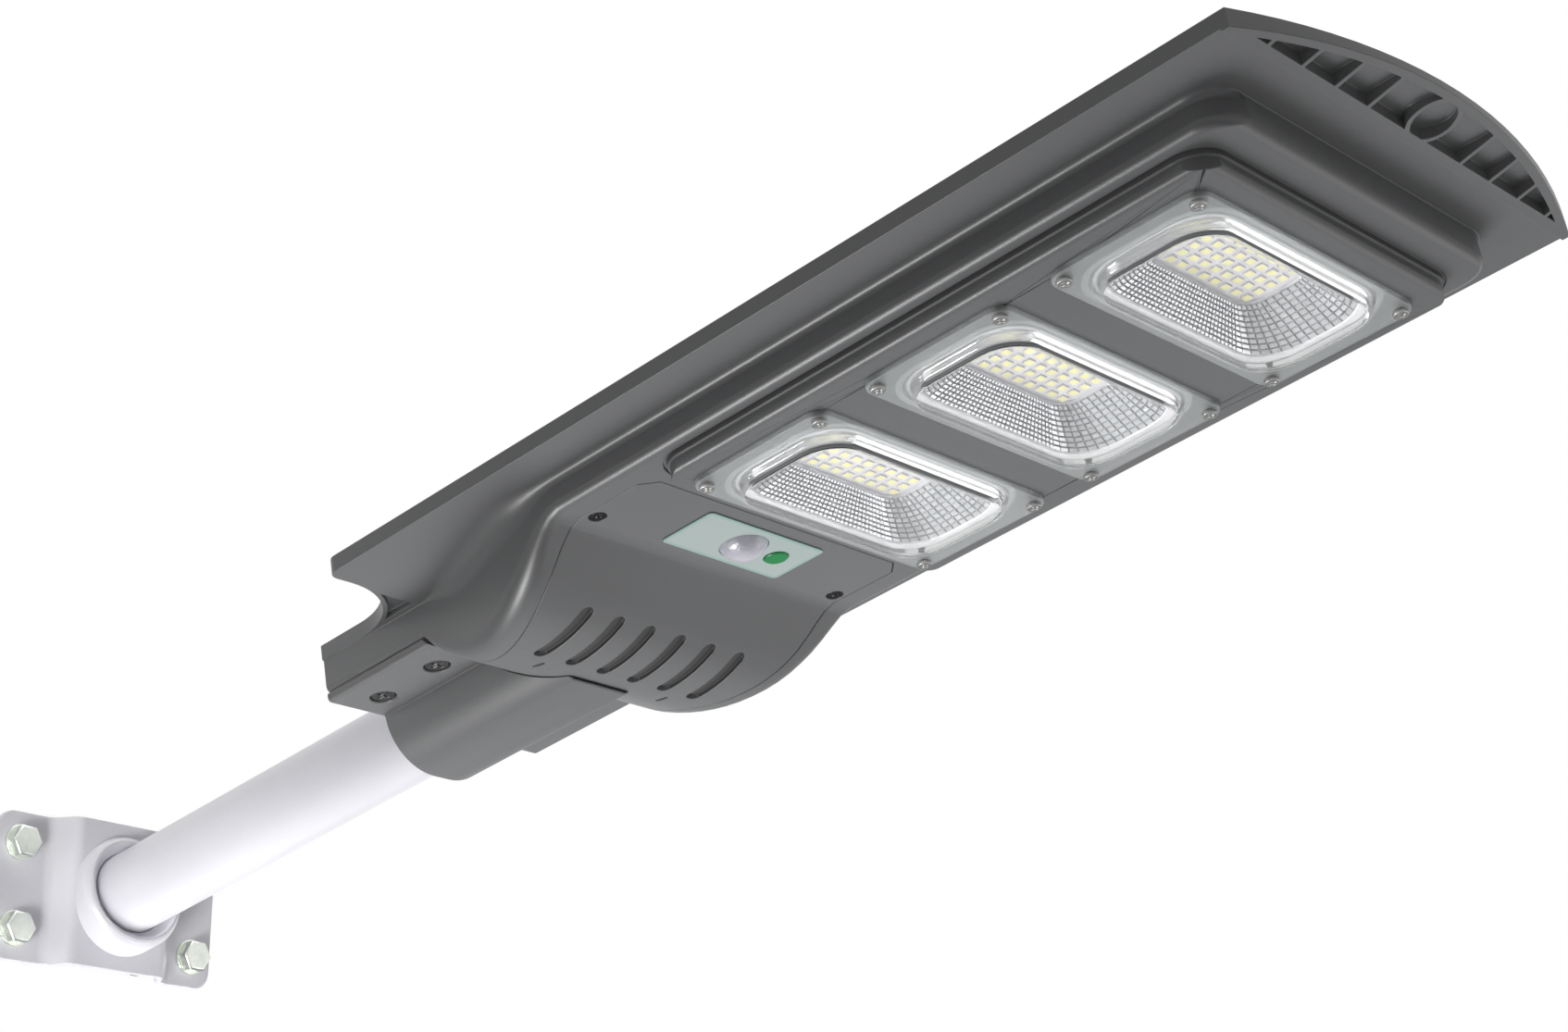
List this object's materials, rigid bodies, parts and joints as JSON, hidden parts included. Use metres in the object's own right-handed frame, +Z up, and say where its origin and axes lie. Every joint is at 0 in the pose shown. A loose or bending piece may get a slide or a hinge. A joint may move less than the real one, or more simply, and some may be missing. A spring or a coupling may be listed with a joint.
{
  "type": "solar street lamp",
  "caption": "Solar street lamp: a flat head with a solar panel on top and lens modules, a motion sensor and a battery belly below, clamped on a sloping arm with a bolted wall plate.",
  "frame": {"origin": "middle of the four wall bolts, on the plane of the wall plate's back", "axes": "+X away from the wall, +Y to the lamp's left, +Z up; the arm rises 12 degrees from +X"},
  "size_m": [0.7435, 0.209, 0.2022],
  "materials": {
    "white_coat": "white powder coat with a cool tint, satin",
    "zinc_steel": "bright zinc plate",
    "screw_steel": "stainless, satin",
    "black_steel": "black oxide",
    "grey_shell": "dark grey moulded shell, fine spark texture",
    "panel_glass": "clear tempered glass",
    "solar_cell": "dark blue silicon with fine silver fingers",
    "white_sheet": "white film",
    "black_rubber": "black silicone",
    "pale_rubber": "pale translucent silicone",
    "black_plastic": "black moulded plastic",
    "clear_lens": "clear moulded lens, polished",
    "reflector": "metallised facets",
    "led_board": "white solder mask",
    "led_chip": "yellow phosphor",
    "sensor_plate": "pale grey-green film plate",
    "sensor_dome": "milky moulded dome",
    "green_button": "green moulded cap",
    "circuit_board": "green solder mask",
    "battery_wrap": "blue sleeve round a cell",
    "lead_jacket": "red lead jacket"
  },
  "bodies": {
    "bracket": {"wall_plate": "white_coat", "arm_tube": "white_coat", "weld_collar": "white_coat", "wall_bolts": "zinc_steel", "bolt_washers": "zinc_steel"},
    "head": {"main_housing": "grey_shell", "rear_cover": "grey_shell", "cover_screws": "black_steel", "lower_clamp": "grey_shell", "clamp_screws": "screw_steel", "panel_glass": "panel_glass", "panel_cells": "solar_cell", "panel_backsheet": "white_sheet", "panel_seal": "black_rubber", "junction_box": "black_plastic", "lens_rear": "clear_lens", "lens_middle": "clear_lens", "lens_front": "clear_lens", "lens_gaskets": "pale_rubber", "lens_screws": "screw_steel", "reflector_rear": "reflector", "reflector_middle": "reflector", "reflector_front": "reflector", "led_board_rear": "led_board", "led_board_middle": "led_board", "led_board_front": "led_board", "led_chips_rear": "led_chip", "led_chips_middle": "led_chip", "led_chips_front": "led_chip", "sensor_plate": "sensor_plate", "pir_lens": "sensor_dome", "pir_sensor": "screw_steel", "button_switch": "black_plastic", "control_board": "circuit_board", "board_parts": "black_plastic", "battery_tray": "black_plastic", "battery_cells": "battery_wrap", "battery_leads": "lead_jacket", "panel_leads": "lead_jacket", "led_leads": "lead_jacket"},
    "button": {"push_button": "green_button"}
  },
  "joints": [
    {"name": "head_roll", "type": "hinge", "parent": "bracket", "child": "head", "pos_m": [0.015, 0, 0], "axis": [0.9781, 0, 0.2079], "continuous": true},
    {"name": "button_press", "type": "slide", "parent": "head", "child": "button", "axis": [-0.2079, 0, 0.9781], "range_m": [0, 0.001], "stiffness_N_per_m": 1000, "springref_m": -0.0005}
  ]
}
